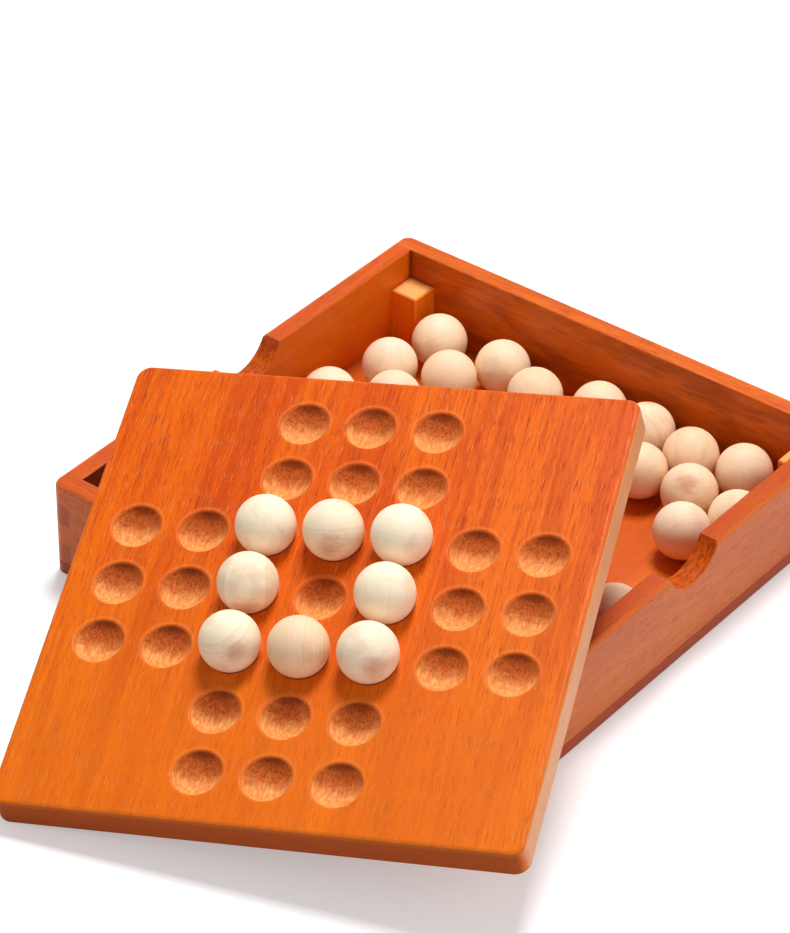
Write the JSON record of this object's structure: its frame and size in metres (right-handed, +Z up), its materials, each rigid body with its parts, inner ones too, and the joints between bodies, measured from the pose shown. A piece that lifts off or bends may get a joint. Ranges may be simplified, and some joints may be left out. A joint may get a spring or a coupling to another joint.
{
  "type": "peg solitaire set",
  "caption": "Square finger-jointed wooden tray with notched sides and corner posts, a dimpled play board that closes it, here leaning on its rim, and loose wooden balls.",
  "frame": {"origin": "centre of the tray's underside, on the surface that it stands on", "axes": "+Z up out of the tray; +X towards the notched wall on the right; +Y towards the plain wall at the back, away from the leaning board's low corner"},
  "size_m": [0.2318, 0.3041, 0.0852],
  "materials": {
    "tray_wood": "satin",
    "base_wood": "satin",
    "board_wood": "satin",
    "ball_wood": "matte"
  },
  "bodies": {
    "tray": {"base_panel": "base_wood", "wall_plain_back": "tray_wood", "wall_plain_front": "tray_wood", "wall_notched_right": "tray_wood", "wall_notched_left": "tray_wood", "corner_post_back_left": "tray_wood", "corner_post_back_right": "tray_wood", "corner_post_front_left": "tray_wood", "corner_post_front_right": "tray_wood"},
    "board": {"play_board": "board_wood"},
    "board_ball_1": {"board_ball_1": "ball_wood"},
    "board_ball_2": {"board_ball_2": "ball_wood"},
    "board_ball_3": {"board_ball_3": "ball_wood"},
    "board_ball_4": {"board_ball_4": "ball_wood"},
    "board_ball_5": {"board_ball_5": "ball_wood"},
    "board_ball_6": {"board_ball_6": "ball_wood"},
    "board_ball_7": {"board_ball_7": "ball_wood"},
    "board_ball_8": {"board_ball_8": "ball_wood"},
    "tray_ball_1": {"tray_ball_1": "ball_wood"},
    "tray_ball_2": {"tray_ball_2": "ball_wood"},
    "tray_ball_3": {"tray_ball_3": "ball_wood"},
    "tray_ball_4": {"tray_ball_4": "ball_wood"},
    "tray_ball_5": {"tray_ball_5": "ball_wood"},
    "tray_ball_6": {"tray_ball_6": "ball_wood"},
    "tray_ball_7": {"tray_ball_7": "ball_wood"},
    "tray_ball_8": {"tray_ball_8": "ball_wood"},
    "tray_ball_9": {"tray_ball_9": "ball_wood"},
    "tray_ball_10": {"tray_ball_10": "ball_wood"},
    "tray_ball_11": {"tray_ball_11": "ball_wood"},
    "tray_ball_12": {"tray_ball_12": "ball_wood"},
    "tray_ball_13": {"tray_ball_13": "ball_wood"},
    "tray_ball_14": {"tray_ball_14": "ball_wood"},
    "tray_ball_15": {"tray_ball_15": "ball_wood"},
    "tray_ball_16": {"tray_ball_16": "ball_wood"},
    "tray_ball_17": {"tray_ball_17": "ball_wood"},
    "tray_ball_18": {"tray_ball_18": "ball_wood"},
    "tray_ball_19": {"tray_ball_19": "ball_wood"},
    "tray_ball_20": {"tray_ball_20": "ball_wood"},
    "tray_ball_21": {"tray_ball_21": "ball_wood"},
    "tray_ball_22": {"tray_ball_22": "ball_wood"},
    "tray_ball_23": {"tray_ball_23": "ball_wood"},
    "tray_ball_24": {"tray_ball_24": "ball_wood"}
  },
  "joints": [
    {"name": "board_lift", "type": "slide", "parent": "tray", "child": "board", "axis": [0, 0, 1], "range_m": [0, 0.15]},
    {"name": "board_ball_1_lift", "type": "slide", "parent": "board", "child": "board_ball_1", "axis": [0, -0.3305, 0.9438], "range_m": [0, 0.04]},
    {"name": "board_ball_2_lift", "type": "slide", "parent": "board", "child": "board_ball_2", "axis": [0, -0.3305, 0.9438], "range_m": [0, 0.04]},
    {"name": "board_ball_3_lift", "type": "slide", "parent": "board", "child": "board_ball_3", "axis": [0, -0.3305, 0.9438], "range_m": [0, 0.04]},
    {"name": "board_ball_4_lift", "type": "slide", "parent": "board", "child": "board_ball_4", "axis": [0, -0.3305, 0.9438], "range_m": [0, 0.04]},
    {"name": "board_ball_5_lift", "type": "slide", "parent": "board", "child": "board_ball_5", "axis": [0, -0.3305, 0.9438], "range_m": [0, 0.04]},
    {"name": "board_ball_6_lift", "type": "slide", "parent": "board", "child": "board_ball_6", "axis": [0, -0.3305, 0.9438], "range_m": [0, 0.04]},
    {"name": "board_ball_7_lift", "type": "slide", "parent": "board", "child": "board_ball_7", "axis": [0, -0.3305, 0.9438], "range_m": [0, 0.04]},
    {"name": "board_ball_8_lift", "type": "slide", "parent": "board", "child": "board_ball_8", "axis": [0, -0.3305, 0.9438], "range_m": [0, 0.04]},
    {"name": "tray_ball_1_lift", "type": "slide", "parent": "tray", "child": "tray_ball_1", "axis": [0, 0, 1], "range_m": [0, 0.055]},
    {"name": "tray_ball_2_lift", "type": "slide", "parent": "tray", "child": "tray_ball_2", "axis": [0, 0, 1], "range_m": [0, 0.055]},
    {"name": "tray_ball_3_lift", "type": "slide", "parent": "tray", "child": "tray_ball_3", "axis": [0, 0, 1], "range_m": [0, 0.055]},
    {"name": "tray_ball_4_lift", "type": "slide", "parent": "tray", "child": "tray_ball_4", "axis": [0, 0, 1], "range_m": [0, 0.055]},
    {"name": "tray_ball_5_lift", "type": "slide", "parent": "tray", "child": "tray_ball_5", "axis": [0, 0, 1], "range_m": [0, 0.055]},
    {"name": "tray_ball_6_lift", "type": "slide", "parent": "tray", "child": "tray_ball_6", "axis": [0, 0, 1], "range_m": [0, 0.055]},
    {"name": "tray_ball_7_lift", "type": "slide", "parent": "tray", "child": "tray_ball_7", "axis": [0, 0, 1], "range_m": [0, 0.055]},
    {"name": "tray_ball_8_lift", "type": "slide", "parent": "tray", "child": "tray_ball_8", "axis": [0, 0, 1], "range_m": [0, 0.055]},
    {"name": "tray_ball_9_lift", "type": "slide", "parent": "tray", "child": "tray_ball_9", "axis": [0, 0, 1], "range_m": [0, 0.055]},
    {"name": "tray_ball_10_lift", "type": "slide", "parent": "tray", "child": "tray_ball_10", "axis": [0, 0, 1], "range_m": [0, 0.055]},
    {"name": "tray_ball_11_lift", "type": "slide", "parent": "tray", "child": "tray_ball_11", "axis": [0, 0, 1], "range_m": [0, 0.055]},
    {"name": "tray_ball_12_lift", "type": "slide", "parent": "tray", "child": "tray_ball_12", "axis": [0, 0, 1], "range_m": [0, 0.055]},
    {"name": "tray_ball_13_lift", "type": "slide", "parent": "tray", "child": "tray_ball_13", "axis": [0, 0, 1], "range_m": [0, 0.055]},
    {"name": "tray_ball_14_lift", "type": "slide", "parent": "tray", "child": "tray_ball_14", "axis": [0, 0, 1], "range_m": [0, 0.055]},
    {"name": "tray_ball_15_lift", "type": "slide", "parent": "tray", "child": "tray_ball_15", "axis": [0, 0, 1], "range_m": [0, 0.055]},
    {"name": "tray_ball_16_lift", "type": "slide", "parent": "tray", "child": "tray_ball_16", "axis": [0, 0, 1], "range_m": [0, 0.0395]},
    {"name": "tray_ball_17_lift", "type": "slide", "parent": "tray", "child": "tray_ball_17", "axis": [0, 0, 1], "range_m": [0, 0.055]},
    {"name": "tray_ball_18_lift", "type": "slide", "parent": "tray", "child": "tray_ball_18", "axis": [0, 0, 1], "range_m": [0, 0.055]},
    {"name": "tray_ball_19_lift", "type": "slide", "parent": "tray", "child": "tray_ball_19", "axis": [0, 0, 1], "range_m": [0, 0.055]},
    {"name": "tray_ball_20_lift", "type": "slide", "parent": "tray", "child": "tray_ball_20", "axis": [0, 0, 1], "range_m": [0, 0.055]},
    {"name": "tray_ball_21_lift", "type": "slide", "parent": "tray", "child": "tray_ball_21", "axis": [0, 0, 1], "range_m": [0, 0.055]},
    {"name": "tray_ball_22_lift", "type": "slide", "parent": "tray", "child": "tray_ball_22", "axis": [0, 0, 1], "range_m": [0, 0.055]},
    {"name": "tray_ball_23_lift", "type": "slide", "parent": "tray", "child": "tray_ball_23", "axis": [0, 0, 1], "range_m": [0, 0.0365]},
    {"name": "tray_ball_24_lift", "type": "slide", "parent": "tray", "child": "tray_ball_24", "axis": [0, 0, 1], "range_m": [0, 0.0295]}
  ]
}
